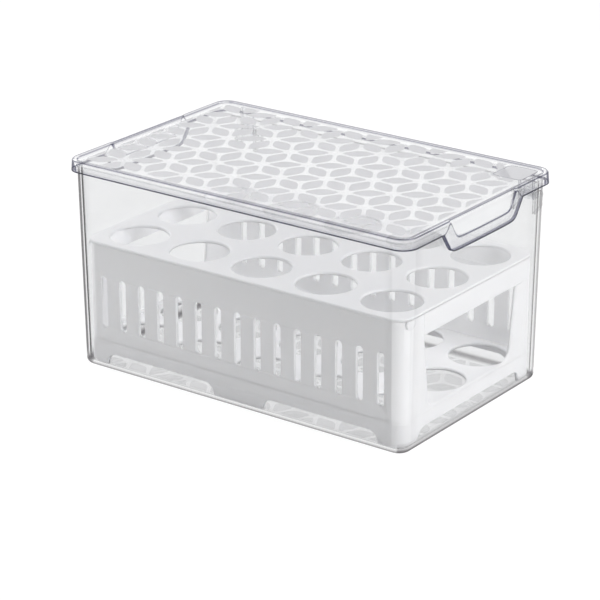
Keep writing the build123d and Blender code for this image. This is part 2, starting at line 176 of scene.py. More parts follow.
# ---------------------------------------------------------------- node helpers
class Tree:
    """The shader nodes of one material or world. Each new node is linked as it is added."""

    def __init__(self, owner, output="OutputMaterial"):
        owner.use_nodes = True
        self.owner = owner
        self.nodes = owner.node_tree.nodes
        self.links = owner.node_tree.links
        self.nodes.clear()
        self.out = self.add(output)

    def add(self, kind, inputs=(), **settings):
        """A node with some inputs linked, where a socket is given, or else set."""
        node = self.nodes.new("ShaderNode" + kind)
        for key, value in settings.items():
            setattr(node, key, value)
        for key, value in dict(inputs).items():
            if isinstance(value, bpy.types.NodeSocket):
                self.links.new(value, node.inputs[key])
            else:
                node.inputs[key].default_value = value
        return node

    def surface(self, socket):
        """Ends the tree with this shader, and hands back what it belongs to."""
        self.links.new(socket, self.out.inputs["Surface"])
        return self.owner


def material_tree(name):
    return Tree(bpy.data.materials.new(name))


def object_coords(tree):
    return tree.add("TexCoord").outputs["Object"]


def maths(tree, operation, *values):
    """The result of one sum on sockets or numbers."""
    return tree.add("Math", dict(enumerate(values)), operation=operation).outputs[0]


def mark(tree, name):
    """How strongly a surface carries one of its own marks, from 0 to 1."""
    return tree.add("Attribute", attribute_name=name).outputs["Fac"]


def painted_turn_shade(tree, facing, shade, name):
    """Painted shade on the places that carry a mark, where they turn away from the eye: nothing up to the
    first value of facing, and an S-shaped climb to full strength at the second."""
    begins, full, strength = shade
    climb = tree.add("MapRange", {"Value": facing, "From Min": begins, "From Max": full, "To Max": strength},
                     interpolation_type="SMOOTHSTEP").outputs[0]
    return maths(tree, "MULTIPLY", climb, mark(tree, name))


def noise(tree, coords, scale, detail, roughness):
    """Clouds or grain between 0 and 1 that stay with the object."""
    inputs = {"Vector": coords, "Scale": scale, "Detail": detail, "Roughness": roughness}
    return tree.add("TexNoise", inputs).outputs["Fac"]


def within(tree, coordinate, low, high):
    """One between two planes across an axis, and nothing outside them."""
    return maths(tree, "MULTIPLY", maths(tree, "GREATER_THAN", coordinate, low * MM),
                 maths(tree, "LESS_THAN", coordinate, high * MM))


def seen(tree):
    """One for what is seen directly, mirrored or through clear plastic, and nothing for light on its way."""
    path = tree.add("LightPath").outputs
    straight = maths(tree, "MAXIMUM", path["Is Camera Ray"], path["Is Glossy Ray"])
    return maths(tree, "MAXIMUM", straight, path["Is Transmission Ray"])


def open_to_light(tree, shader, tint):
    """Ends a material that light on its way to other surfaces passes straight through, with a tint."""
    path = tree.add("LightPath").outputs
    passing = maths(tree, "MAXIMUM", path["Is Shadow Ray"], path["Is Diffuse Ray"])
    tinted = tree.add("BsdfTransparent", {"Color": tint}).outputs[0]
    return tree.surface(tree.add("MixShader", {0: passing, 1: shader, 2: tinted}).outputs[0])


# ---------------------------------------------------------------- materials
def clear_plastic(name, tint, painted_line_tint):
    """Polished clear moulding. It passes light with a slight tint, and mirrors more towards a glance. Dark
    lines are painted on its edges, marked by line, in place of the dark lines that refraction makes there,
    and painted shade darkens its upright corners seen along the wall: a band on the outside, marked by bend,
    and a finer line on the inside, marked by hollow. Places marked by haze turn milky."""
    t = material_tree(name)
    facing = t.add("LayerWeight", {"Blend": 0.5}).outputs["Facing"]
    # painted shade on the marked corners where they are seen along the wall
    painted_silhouette = maths(t, "MAXIMUM", painted_turn_shade(t, facing, BEND_SHADE, "bend"),
                       painted_turn_shade(t, facing, HOLLOW_SHADE, "hollow"))
    dark = maths(t, "MAXIMUM", mark(t, "line"), painted_silhouette)
    cloud = noise(t, object_coords(t), 30.0, 2.0, 0.5)
    uneven = t.add("MapRange", {"Value": cloud, "To Min": -UNEVEN, "To Max": UNEVEN}).outputs[0]
    factor = t.add("Math", {0: dark, 1: uneven}, operation="ADD", use_clamp=True).outputs[0]
    # the tint, with dark lines painted over it on the marked edges
    shade = t.add("MixRGB", {0: factor, 1: tint, 2: painted_line_tint}).outputs[0]
    see = t.add("BsdfTransparent", {"Color": shade}).outputs[0]
    ripple = t.add("Bump", {"Height": cloud, "Strength": 0.04, "Distance": 0.002}).outputs[0]
    mirror = t.add("BsdfGlossy", {"Color": WHITE_LIGHT, "Roughness": 0.03, "Normal": ripple}).outputs[0]
    unmarked = maths(t, "MULTIPLY_ADD", dark, -DARK_DULLS, 1.0)
    glance = maths(t, "MULTIPLY", maths(t, "POWER", facing, MIRROR_POWER), unmarked)
    share = maths(t, "MULTIPLY_ADD", glance, MIRROR_MORE, MIRROR_LEAST)
    body = t.add("MixShader", {0: share, 1: see, 2: mirror}).outputs[0]
    milky = t.add("BsdfDiffuse", {"Color": (0.96, 0.96, 0.97, 1)}).outputs[0]
    hazed = t.add("MixShader", {0: mark(t, "haze"), 1: body, 2: milky}).outputs[0]
    return open_to_light(t, hazed, (0.975, 0.975, 0.98, 1))


def frosted_plastic(name, low, high, open_share):
    """Etched cells in the clear moulding. They scatter part of the light and let the open share straight
    through. Their tone varies between low and high with a fine grain."""
    t = material_tree(name)
    grain = noise(t, object_coords(t), 900.0, 2.0, 0.6)
    tone = t.add("MixRGB", {0: grain, 1: low, 2: high}).outputs[0]
    bump = t.add("Bump", {"Height": grain, "Strength": 0.25, "Distance": 0.0002}).outputs[0]
    body = t.add("BsdfPrincipled", {"Base Color": tone, "Roughness": 0.55, "Normal": bump,
                                    "Specular IOR Level": 0.3}).outputs[0]
    glow = t.add("BsdfTranslucent", {"Color": tone}).outputs[0]
    solid = t.add("MixShader", {0: CELL_GLOW, 1: body, 2: glow}).outputs[0]
    clear = t.add("BsdfTransparent", {"Color": WHITE_LIGHT}).outputs[0]
    etched = t.add("MixShader", {0: open_share, 1: solid, 2: clear}).outputs[0]
    return open_to_light(t, etched, (0.88, 0.88, 0.89, 1))


def white_plastic():
    """Satin white moulding with a faint grain and slightly uneven tone. The faces inside the rack, between
    the two decks, get a painted glow, standing in for the light that its thin walls let through."""
    t = material_tree("white_plastic")
    coords = object_coords(t)
    x, y, z = t.add("SeparateXYZ", {0: coords}).outputs
    # the box between the two decks, whose faces get the painted glow
    between_walls = maths(t, "MULTIPLY", within(t, x, -RACK_INSIDE[0], RACK_INSIDE[0]),
                          within(t, y, -RACK_INSIDE[1], RACK_INSIDE[1]))
    inside = maths(t, "MULTIPLY", between_walls, within(t, z, DECK_LOW, DECK_HIGH))
    cloud = noise(t, coords, 14.0, 3.0, 0.5)
    tone = t.add("MixRGB", {0: cloud, 1: (0.925, 0.925, 0.93, 1), 2: (0.95, 0.95, 0.955, 1)}).outputs[0]
    grain = noise(t, coords, 1400.0, 2.0, 0.6)
    bump = t.add("Bump", {"Height": grain, "Strength": 0.06, "Distance": 0.0002}).outputs[0]
    gloss = t.add("MapRange", {"Value": cloud, "From Min": 0.3, "From Max": 0.7,
                               "To Min": 0.40, "To Max": 0.50}).outputs[0]
    body = t.add("BsdfPrincipled", {
        "Base Color": tone, "Roughness": gloss, "IOR": 1.49,
        "Subsurface Weight": 0.15, "Subsurface Radius": (1.0, 0.95, 0.9),
        "Subsurface Scale": 0.0015, "Normal": bump, "Emission Color": WHITE_LIGHT,
        "Emission Strength": maths(t, "MULTIPLY", inside, PAINTED_INNER_GLOW)})
    return t.surface(body.outputs[0])


# the clear plastics: their tint, and the colour of the dark lines painted on their edges
CLEAR_BIN = clear_plastic("clear_bin_plastic", (0.942, 0.944, 0.946, 1), (0.14, 0.13, 0.14, 1))
CLEAR_LID = clear_plastic("clear_lid_plastic", (0.972, 0.973, 0.977, 1), (0.07, 0.07, 0.15, 1))
FROSTED_LID = frosted_plastic("frosted_lid_plastic", (0.70, 0.70, 0.715, 1), (0.78, 0.78, 0.795, 1),
                              LID_CELL_OPEN)
FROSTED_FLOOR = frosted_plastic("frosted_floor_plastic", (0.82, 0.82, 0.83, 1), (0.88, 0.88, 0.89, 1),
                                FLOOR_CELL_OPEN)
WHITE = white_plastic()


# ---------------------------------------------------------------- finishing a piece
def settle(piece, material, body):
    """Smooth shading with normals weighted by face area, so that flat walls stay flat and rounds blend."""
    mesh = piece.data
    mesh.shade_smooth()
    mesh.set_sharp_from_angle(angle=SHARP_ANGLE)
    mesh.materials.clear()
    mesh.materials.append(material)
    weigh = piece.modifiers.new("even_normals", "WEIGHTED_NORMAL")
    weigh.mode = "FACE_AREA"
    weigh.weight = AREA_WEIGHT
    weigh.keep_sharp = True
    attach(piece, body)
    return piece


def new_piece(name, mesh, material, body):
    """A mesh as a finished object of the scene, on its body and in its material slot."""
    piece = bpy.data.objects.new(name, mesh)
    bpy.context.scene.collection.objects.link(piece)
    return settle(piece, material, body)


def new_mesh(name, verts, faces, marks):
    """A mesh from points in millimetres and lists of faces. Each mark has one strength for every point."""
    mesh = bpy.data.meshes.new(name)
    mesh.from_pydata((verts * MM).tolist(), [], faces)
    for mark_name, values in marks.items():
        layer = mesh.attributes.new(mark_name, "FLOAT", "POINT")
        layer.data.foreach_set("value", np.clip(values, 0, 1).astype(np.float32).ravel())
    return mesh


def polished_copy(node, material, body):
    """The node's own surface with its triangles joined, so that its rounded edges shade smoothly."""
    mesh = frame["nodes"][node].data.copy()
    mesh.name = "white_" + node
    work = bmesh.new()
    work.from_mesh(mesh)
    bmesh.ops.remove_doubles(work, verts=work.verts, dist=WELD)
    work.to_mesh(mesh)
    work.free()
    piece = new_piece("white_" + node, mesh, material, body)
    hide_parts(node)


for rack_node, rack_body in (("rack_frame", "rack_frame"), ("lower_deck", "rack_frame"),
                             ("upper_deck", "upper_deck"), ("deck_bosses", "upper_deck"),
                             ("upper_flange", "upper_deck")):
    polished_copy(rack_node, WHITE, rack_body)


# ---------------------------------------------------------------- clear mouldings: a profile carried round
def smooth(value, low, high):
    """0 below low, 1 above high, and an S-shaped climb between them."""
    x = np.clip((value - low) / (high - low), 0, 1)
    return x * x * (3 - 2 * x)


def soft_least(a, b, round_off):
    """The smaller of two, with the corner between them rounded off."""
    return 0.5 * (a + b - np.sqrt((a - b) ** 2 + round_off ** 2))


def ridge(value, width):
    """1 at zero, fading to both sides like a bell of this width."""
    return np.exp(-(value / width) ** 2)


def seam(bend):
    """1 at the two stations where a corner begins and ends, 0 elsewhere."""
    return ((bend == 0) & ((np.roll(bend, 1) > 0) | (np.roll(bend, -1) > 0))).astype(float)


def bow(centre, radius, start, end, steps):
    """Points of an arc between two angles in degrees, about a centre in its own plane."""
    angle = np.radians(np.linspace(start, end, steps + 1))
    return np.stack([centre[0] + radius * np.cos(angle), centre[1] + radius * np.sin(angle)], 1)


def everywhere(points, stations):
    """The same points of a profile at every station: first how far they lie in or out, then their heights."""
    return [np.broadcast_to(row, (stations, len(row))) for row in np.array(points, float).T]


def walk_round(half, corner, stops_x, stops_y, turn_steps=12):
    """Once round a rectangle with rounded corners, counter-clockwise. Each station has a core point and an
    outward direction: along a straight side the core moves and the direction stays, and on a corner the
    core stays at the corner's centre and the direction turns a quarter. A point at reach r is core + r * out.
    The third result is 1 at the stations inside a corner and 0 elsewhere."""
    cx, cy = half[0] - corner, half[1] - corner
    turn = np.linspace(0, np.pi / 2, turn_steps + 1)
    inner = np.r_[0.0, np.ones(turn_steps - 1), 0.0]
    core, out, bend = [], [], []
    sides = (((cx, None), (1, 0), stops_y, (cx, cy), 0.0),
             ((None, cy), (0, 1), stops_x[::-1], (-cx, cy), 0.5),
             ((-cx, None), (-1, 0), stops_y[::-1], (-cx, -cy), 1.0),
             ((None, -cy), (0, -1), stops_x, (cx, -cy), 1.5))
    for (fixed_x, fixed_y), direction, stops, centre, half_turns in sides:
        x = stops if fixed_x is None else np.full(len(stops), fixed_x)
        y = stops if fixed_y is None else np.full(len(stops), fixed_y)
        core.append(np.stack([x, y], 1))
        out.append(np.tile(np.array(direction, float), (len(stops), 1)))
        bend.append(np.zeros(len(stops)))
        core.append(np.tile(np.array(centre), (len(turn), 1)))
        angle = turn + np.pi * half_turns
        out.append(np.stack([np.cos(angle), np.sin(angle)], 1))
        bend.append(inner)
    return np.concatenate(core), np.concatenate(out), np.concatenate(bend)


def carried_profile(name, core, out, reach, height, marks):
    """A closed surface: at each station the profile's points lie at core + reach * out, at their heights.
    Quads join neighbours, and one flat face closes the profile at each end. Marks become attributes."""
    stations, rings = reach.shape
    flat = core[:, None] + reach[..., None] * out[:, None]
    verts = np.concatenate([flat, height[..., None]], -1).reshape(-1, 3)
    i, j = np.meshgrid(np.arange(stations), np.arange(rings - 1), indexing="ij")
    a, b = i * rings + j, (i + 1) % stations * rings + j
    quads = np.stack([a, b, b + 1, a + 1], -1).reshape(-1, 4)
    ends = np.arange(stations) * rings
    caps = [ends[::-1].tolist(), (ends + rings - 1).tolist()]
    return new_mesh(name, verts, quads.tolist() + caps, marks)


def bin_mesh():
    """Underside, rounded base edge, wall leaning out, rounded rim, and the same inside down to the floor."""
    core, out, bend = walk_round(BIN_HALF, BIN_CORNER, np.linspace(-110, 110, 12), np.linspace(-60, 60, 7))
    lean, slant, tilt = tan(BIN_LEAN), cos(BIN_LEAN), np.degrees(BIN_LEAN)

    def wall(z, inset=0.0):
        return BIN_CORNER - inset + z * lean

    # heights of the rings between the rounded edges, close together where the back wall carries a painted
    # dark line
    climb = np.array([8.0, 12.0, 40.0, 80.0, 120.0, 129.0])
    drop = np.array([129.0, 128.3, BACK_WALL_Z, 126.9, 120.0, 80.0, 40.0, 12.0, 8.0])
    rim_z = BIN_TOP - RIM_ROUND
    round_z = BIN_FLOOR + FLOOR_ROUND
    profile = (
        bow((wall(BASE_ROUND) - BASE_ROUND / slant, BASE_ROUND), BASE_ROUND, -90, -tilt, 8),
        np.stack([wall(climb), climb], 1),
        bow((wall(rim_z) - RIM_ROUND / slant, rim_z), RIM_ROUND, -tilt, 90, 5),
        bow((wall(rim_z, BIN_WALL) + RIM_ROUND / slant, rim_z), RIM_ROUND, 90, 180 - tilt, 5),
        np.stack([wall(drop, BIN_WALL), drop], 1),
        bow((wall(round_z, BIN_WALL) - FLOOR_ROUND / slant, round_z), FLOOR_ROUND, -tilt, -90, 5))
    stations = len(core)
    reach, height = everywhere(np.concatenate(profile), stations)

    # dark lines painted along the rounded edges, the back rim and wall, the floor's flat edges and where the
    # corners begin, in place of refraction
    part = np.repeat(np.arange(len(profile)), [len(points) for points in profile])
    turned = np.concatenate([np.linspace(-1, 1, len(points)) if strength else np.ones(len(points))
                             for points, strength in zip(profile, BIN_PAINTED_LINES)])
    line = np.tile(np.choose(part, BIN_PAINTED_LINES) * ridge(turned, BIN_LINE_WIDTH), (stations, 1))
    to_side = np.abs(out[:, :1]) > 0.5
    line = np.where(to_side & (part == BASE), ridge(turned - END_BASE_SHIFT, END_BASE_WIDTH), line)
    to_back = out[:, 1:] > 0.9
    line = np.where(to_back & (part == RIM_OUT), BACK_RIM_PAINTED_LINE * ridge(turned, BACK_RIM_WIDTH), line)
    painted_back_line = BACK_WALL_PAINTED_LINE * ridge(height - BACK_WALL_Z, BACK_WALL_WIDTH)
    line = np.where(to_back & (part == INNER), painted_back_line, line)
    line[:, [0, -1]] = FLAT_EDGE_PAINTED_LINE
    line = np.maximum(line, np.outer(seam(bend), (part == OUTER) * SEAM_PAINTED_LINE))
    # painted shade on the upright corners, outside and inside, weaker on the right ones
    corners = bend * np.where(core[:, 0] < 0, 1.0, RIGHT_CORNERS_PAINTED_SHADE)
    marks = {"line": line, "bend": np.outer(corners, part == OUTER),
             "hollow": np.outer(corners, part == INNER)}
    return carried_profile("clear_bin", core, out, reach, height, marks)


def lid_mesh():
    """Plate underside, room for the rim, skirt, raised bead and plate top. On the short sides the skirt's
    lower edge drops as a flap with leaning ends, its face stays flat a little way above the skirt's edge,
    and inside a widening scoop the surface leans in from a fold up to the bead."""
    stops_y = np.r_[-66.0, -56.0, -48.0, np.arange(-45.0, 45.01, 0.5), 48.0, 56.0, 66.0]
    core, out, bend = walk_round(LID_HALF, LID_CORNER, np.linspace(-110, 110, 12), stops_y)
    stations = len(core)
    on_end = np.abs(out[:, 0]) > 0.999
    y = np.where(on_end, np.abs(core[:, 1]), FAR)[:, None]
    lean, upright, tilt = tan(LID_LEAN), cos(LID_LEAN), np.degrees(LID_LEAN)

    # skirt and flap: how deep each ring lies behind the lid's edge, and its height
    drop = soft_least(FLAP_DROP, FLAP_DROP * (FLAP_TOP - y) / (FLAP_TOP - FLAP_LOW), FLAP_SOFT)
    drop = np.clip(drop, 0, None)
    low = SKIRT_LOW - drop
    bead_z = LID_TOP - BEAD_OUTER
    bead_depth = (bead_z - SKIRT_LOW) * lean + BEAD_OUTER / upright
    bead_bow = bow((bead_depth, bead_z), BEAD_OUTER, 180 - tilt, 90, BEAD_STEPS)
    skirt_z = low + (bead_bow[0, 1] - low) * np.linspace(0, 1, SKIRT_RINGS)
    rise = FLAP_RISE * np.clip((FLAP_TOP - y) / (FLAP_TOP - FLAP_SHOULDER), 0, 1) ** FLAP_ARC
    above = skirt_z - SKIRT_LOW - rise
    flat_face = 1 - smooth(above, *FLAT_FACE_FADE)
    skirt_d = np.clip(skirt_z - SKIRT_LOW, 0, None) * lean * (1 - flat_face * (y < FLAP_TOP))

    # outer side with the bead, and the scoop in it
    bead_d, bead_heights = everywhere(bead_bow[1:], stations)
    d = np.concatenate([skirt_d, bead_d], 1)
    z = np.concatenate([skirt_z, bead_heights], 1)
    half_scoop = SCOOP_LOW + (SCOOP_TOP - SCOOP_LOW) * (z - FOLD) / (LID_TOP - FOLD)
    inside = soft_least((half_scoop - y) * SCOOP_SIDE, z - FOLD, SCOOP_SOFT)
    scooped = smooth(inside, 0.0, SCOOP_EDGE)
    d = d + (np.maximum(d, SCOOP_LEDGE + (z - FOLD) * SCOOP_LEAN) - d) * scooped

    # its marks: dark lines painted along the lower edge, the arc over the flap, the bead and the scoop's
    # edge, and the scoop's haze
    leaning = (y > FLAP_LOW + 1) & (y < FLAP_TOP)
    slope = np.where(leaning, FLAP_DROP / (FLAP_TOP - FLAP_LOW), 0.0)
    painted_edge_line = 1 - smooth((skirt_z - low) / np.sqrt(1 + slope ** 2), SKIRT_LINE_FULL, SKIRT_LINE_GONE)
    painted_arc_line = ridge(above, ARC_LINE_WIDTH) * (y < FLAP_TOP) * (y > ARC_LINE_START)
    bead_angle = np.linspace(180 - tilt, 90, BEAD_STEPS + 1)[1:]
    painted_bead_line = np.tile(ridge(bead_angle - BEAD_LINE_AT, BEAD_LINE_WIDTH), (stations, 1))
    line = np.concatenate([np.maximum(painted_edge_line, painted_arc_line), painted_bead_line], 1)
    line = np.maximum(line, ridge(inside - SCOOP_LINE_AT, SCOOP_LINE_WIDTH) * (z < bead_z))
    haze = SCOOP_HAZE * smooth(inside, SCOOP_HAZE_NONE, SCOOP_HAZE_FULL) * (z < bead_z)

    # underside, inner side of the skirt, and the bead's inner side with the plate's top
    under = [(PLATE_INSET, ROOM_TOP), (SKIRT + ROOM_CHAMFER, ROOM_TOP), (SKIRT, ROOM_TOP - ROOM_CHAMFER)]
    under_d, under_z = everywhere(under, stations)
    inner_z = np.concatenate([(ROOM_TOP - ROOM_CHAMFER + low) / 2, low + INNER_LINE_GONE,
                              low + INNER_LINE_FULL, low], 1)
    painted_inner_line = np.array(INNER_PAINTED_LINE) * np.where(drop > 1.0, 1.0, INNER_LINE_OFF_FLAP)
    inner_bow = bow((BEAD - BEAD_INNER, LID_TOP - BEAD_INNER), BEAD_INNER, 90, 0, 5)
    foot = [(BEAD, PLATE_TOP + FOOT_UP), (BEAD, PLATE_TOP), (BEAD + FOOT_IN, PLATE_TOP),
            (PLATE_INSET, PLATE_TOP)]
    top_d, top_z = everywhere(np.concatenate([inner_bow, foot]), stations)
    # painted dark line along the bead's inner side and the plate's top
    painted_top_line = np.array(TOP_PAINTED_LINE) * np.where(on_end | (out[:, 1] > 0.9), TOP_LINE_FAR, 1.0)[:, None]

    d = np.concatenate([under_d, np.full(inner_z.shape, SKIRT), d, top_d], 1)
    z = np.concatenate([under_z, inner_z, z, top_z], 1)
    under_rings, inner_rings, top_rings = len(under), inner_z.shape[1], len(TOP_PAINTED_LINE)
    before = under_rings + inner_rings
    line = np.concatenate([np.zeros((stations, under_rings)), painted_inner_line, line, painted_top_line], 1)
    haze = np.concatenate([np.zeros((stations, before)), haze, np.zeros((stations, top_rings))], 1)
    # painted shade on the corners seen along the skirt, outside and inside
    outer_side = np.r_[np.zeros(before), np.ones(SKIRT_RINGS), np.cos(np.radians(bead_angle)) ** 2,
                       np.zeros(top_rings)]
    inner_side = np.repeat((0.0, 1.0, 0.0, 1.0, 0.0), (under_rings, inner_rings,
                                                       SKIRT_RINGS + BEAD_STEPS + len(inner_bow), 2, 2))
    marks = {"line": line, "haze": haze, "bend": np.outer(bend, outer_side),
             "hollow": np.outer(bend, inner_side)}
    return carried_profile("clear_lid", core, out, LID_CORNER - d, z, marks)


clear_bin = new_piece("clear_bin", bin_mesh(), CLEAR_BIN, "bin")
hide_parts("bin")
clear_lid = new_piece("clear_lid", lid_mesh(), CLEAR_LID, "lid")
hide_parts("lid")


# ---------------------------------------------------------------- hinges
def prism_mesh(name, outline, spans):
    """Outlines in (y, z) drawn out along X through the rings of each span, closed at both ends. The two end
    faces are shrunk a little about the outline's middle, which leaves a narrow bevel. The edges beside the
    bevels carry the line mark, a painted dark line, and the sides between them the bend mark, painted shade."""
    outline = np.array(outline, float)
    y, z = outline.T
    if (y * np.roll(z, -1) - np.roll(y, -1) * z).sum() < 0:
        outline = outline[::-1]
    ahead = np.roll(outline, -1, 0) - np.roll(outline, 1, 0)
    inward = np.stack([-ahead[:, 1], ahead[:, 0]], 1) / np.linalg.norm(ahead, axis=1)[:, None]
    steps = np.array([0.0, HINGE_BEVEL, HINGE_EDGE, -HINGE_EDGE, -HINGE_BEVEL, 0.0])
    inset = np.array([HINGE_BEVEL, 0.0, 0.0, 0.0, 0.0, HINGE_BEVEL])
    rings = len(steps)
    sides = len(outline)
    start, end = np.array(spans, float).T
    x = np.where(steps > 0, start[:, None] + steps, end[:, None] + steps)
    x[:, 0] = start
    shape = (len(spans), rings, sides)
    flat = outline + inset[:, None, None] * inward
    verts = np.stack([np.broadcast_to(x[..., None], shape), np.broadcast_to(flat[..., 0], shape),
                      np.broadcast_to(flat[..., 1], shape)], -1).reshape(-1, 3)
    k, j, i = np.meshgrid(np.arange(len(spans)), np.arange(rings - 1), np.arange(sides), indexing="ij")
    a, b = (k * rings + j) * sides + i, (k * rings + j) * sides + (i + 1) % sides
    quads = np.stack([a, b, b + sides, a + sides], -1).reshape(-1, 4)
    first = (np.arange(len(spans)) * rings * sides)[:, None] + np.arange(sides)
    caps = first[:, ::-1].tolist() + (first + (rings - 1) * sides).tolist()
    marks = {key: np.broadcast_to(np.array(values)[:, None], shape) for key, values in HINGE_PAINTED_MARKS.items()}
    return new_mesh(name, verts, quads.tolist() + caps, marks)


def ear_outline():
    """From the wall over the nose round the pin, in at the web, round the heel and back to the wall."""
    root = BIN_HALF[1] + PIN_Z * tan(BIN_LEAN) - EAR_ROOT_DEPTH
    nose = bow((PIN_Y, PIN_Z), EAR_NOSE, 90, -35, 10)
    heel = bow((PIN_Y, PIN_Z - EAR_HEEL_DROP), EAR_HEEL, 25, -90, 10)
    return np.concatenate([[(root, PIN_Z + EAR_NOSE)], nose, heel, [(root, PIN_Z - EAR_ROOT_DROP)]])


def clip_outline():
    """A ring open at the bottom, with an arm up its inner side."""
    gap = np.degrees(np.arcsin(CLIP_MOUTH / CLIP))
    bore_gap = np.degrees(np.arcsin(CLIP_MOUTH / CLIP_BORE))
    arm = np.degrees(np.arccos((CLIP_ARM - CLIP) / CLIP))
    centre = (PIN_Y, PIN_Z)
    return np.concatenate([
        bow(centre, CLIP, gap - 90, arm, 18),
        [(PIN_Y - CLIP + CLIP_ARM, ROOM_TOP), (PIN_Y - CLIP, ROOM_TOP)],
        bow(centre, CLIP, 180, 270 - gap, 6), bow(centre, CLIP_BORE, 270 - bore_gap, bore_gap - 90, 18)])


def span(middle, width):
    """The two ends of a width about its middle."""
    return middle - width / 2, middle + width / 2


hinges = (-HINGE_X, HINGE_X)
ear_shift = (EAR_GAP + EAR) / 2
ear_spans = [span(x + shift, EAR) for x in hinges for shift in (-ear_shift, ear_shift)]
pin_spans = [span(x, EAR_GAP) for x in hinges]
clip_spans = [span(x, CLIP_WIDTH) for x in hinges]
pin_outline = bow((PIN_Y, PIN_Z), PIN, 0, 360, 24)[:-1]
for hinge_part, outline, spans, plastic, body in (
        ("hinge_ears", ear_outline(), ear_spans, CLEAR_BIN, "bin"),
        ("hinge_pins", pin_outline, pin_spans, CLEAR_BIN, "bin"),
        ("hinge_clips", clip_outline(), clip_spans, CLEAR_LID, "lid")):
    new_piece(hinge_part, prism_mesh(hinge_part, outline, spans), plastic, body)


# ---------------------------------------------------------------- frosted cells
def lattice_cells():
    """Centres and lengthwise directions of the cells. A cell joins each pair of neighbours in a lattice of
    nodes: columns LATTICE_X apart, nodes LATTICE_Y apart in a column, every other column half a step up."""
    column = np.arange(-LATTICE_COLUMNS, LATTICE_COLUMNS + 1)
    step = np.arange(-LATTICE_ROWS, LATTICE_ROWS + 1)
    c, s = np.meshgrid(column, step, indexing="ij")
    x = LATTICE_SHIFT_X + LATTICE_X * c
    y = LATTICE_SHIFT_Y + LATTICE_Y * (s + 0.5 * (c % 2))
    nodes = np.stack([x, y], -1).reshape(-1, 2)
    reach = np.array([(0.0, LATTICE_Y), (LATTICE_X, LATTICE_Y / 2), (LATTICE_X, -LATTICE_Y / 2)])
    centres = (nodes[:, None] + reach[None] / 2).reshape(-1, 2)
    along = np.broadcast_to(reach[None], (len(nodes), 3, 2)).reshape(-1, 2)
    return centres, along


def cell_shape(half):
    """A cell in its own directions, u along it and v across. It is a rhombus whose sides lean 30 degrees and
    lie half a web inside the lattice's, with blunt tips and an arc at each wide corner. One quarter is
    worked out, from the right tip to the middle of the upper arc, and mirrored."""
    side = half * sin(CELL_LEAN) - WEB / 2
    tip = half - TIP_CUT
    tip_v = (side - tip * sin(CELL_LEAN)) / cos(CELL_LEAN)
    arc_v = (side - SHOULDER) / cos(CELL_LEAN)
    arc = np.linspace(np.pi / 3, np.pi / 2, 4)
    arc_u, arc_top = SHOULDER * np.cos(arc), arc_v[:, None] + SHOULDER * np.sin(arc)
    step = np.linspace(0, 1, 6)[1:-1]
    side_u = tip[:, None] + (arc_u[0] - tip[:, None]) * step
    side_v = tip_v[:, None] + (arc_top[:, :1] - tip_v[:, None]) * step
    count = len(half)
    u = np.column_stack([tip + TIP_POINT, tip, side_u, np.tile(arc_u, (count, 1))])
    v = np.column_stack([np.zeros(count), tip_v, side_v, arc_top])
    u = np.column_stack([u, -u[:, -2::-1]])
    v = np.column_stack([v, v[:, -2::-1]])
    return np.column_stack([u, u[:, -2:0:-1]]), np.column_stack([v, -v[:, -2:0:-1]])


def cell_outlines(half_field, keep_off=None):
    """Each cell's outline in its place. Points past the edge of the field come back to it, and points over
    the pad's corner come back to the nearer of its two edges. Scraps are left out."""
    centres, along = lattice_cells()
    length = np.linalg.norm(along, axis=1)
    ahead = (along / length[:, None])[:, None]
    across = np.stack([-ahead[..., 1], ahead[..., 0]], -1)
    u, v = cell_shape(length / 2)
    spots = centres[:, None] + u[..., None] * ahead + v[..., None] * across
    spots = np.clip(spots, -np.array(half_field), half_field)
    if keep_off is not None:
        over = spots - np.array(keep_off)
        inside = (over > 0).all(-1, keepdims=True)
        nearer = over == over.min(-1, keepdims=True)
        spots = np.where(inside & nearer, np.array(keep_off), spots)
    following = np.roll(spots, -1, axis=1)
    area = 0.5 * (spots[..., 0] * following[..., 1] - spots[..., 1] * following[..., 0]).sum(1)
    return spots[area > SMALLEST_CELL]


def slab_mesh(name, outlines, levels):
    """Closed slabs: each outline at two heights, quads between them, one face over each end."""
    count, sides = outlines.shape[:2]
    flat = outlines.reshape(-1, 2)
    verts = np.concatenate([np.column_stack([flat, np.full(len(flat), z)]) for z in levels])
    base = (np.arange(count) * sides)[:, None]
    ring = np.arange(sides)
    a, b = base + ring, base + (ring + 1) % sides
    lift = count * sides
    walls = np.stack([a, b, b + lift, a + lift], -1).reshape(-1, 4)
    return new_mesh(name, verts, walls.tolist() + (a + lift).tolist() + a[:, ::-1].tolist(), {})


def pad_outline(grow, sides=32):
    """The pad's rounded rectangle, counter-clockwise, grown outwards: quarter turns about four corner
    centres."""
    radius = PAD_CORNER + grow
    turn = 2 * np.pi * (np.arange(sides) + 0.5) / sides
    c, s = np.cos(turn), np.sin(turn)
    x = np.where(c > 0, PAD_HIGH[0] + grow - radius, PAD_LOW[0] - grow + radius) + radius * c
    y = np.where(s > 0, PAD_HIGH[1] + grow - radius, PAD_LOW[1] - grow + radius) + radius * s
    return np.stack([x, y], -1)


def ring_mesh(name, outer, inner, levels, painted_edge_line):
    """A closed ring: four loops, outer low, outer high, inner high and inner low, with quads between each
    loop and the next, and one strength of the line mark, a painted dark line, all over."""
    bottom, top = levels
    sides = len(outer)
    loops = [(outer, bottom), (outer, top), (inner, top), (inner, bottom)]
    verts = np.concatenate([np.column_stack([spots, np.full(sides, z)]) for spots, z in loops])
    j, i = np.meshgrid(np.arange(len(loops)), np.arange(sides), indexing="ij")
    after, beyond = (i + 1) % sides, (j + 1) % len(loops)
    quads = np.stack([j * sides + i, j * sides + after, beyond * sides + after, beyond * sides + i], -1)
    return new_mesh(name, verts, quads.reshape(-1, 4).tolist(), {"line": np.full(len(verts), painted_edge_line)})


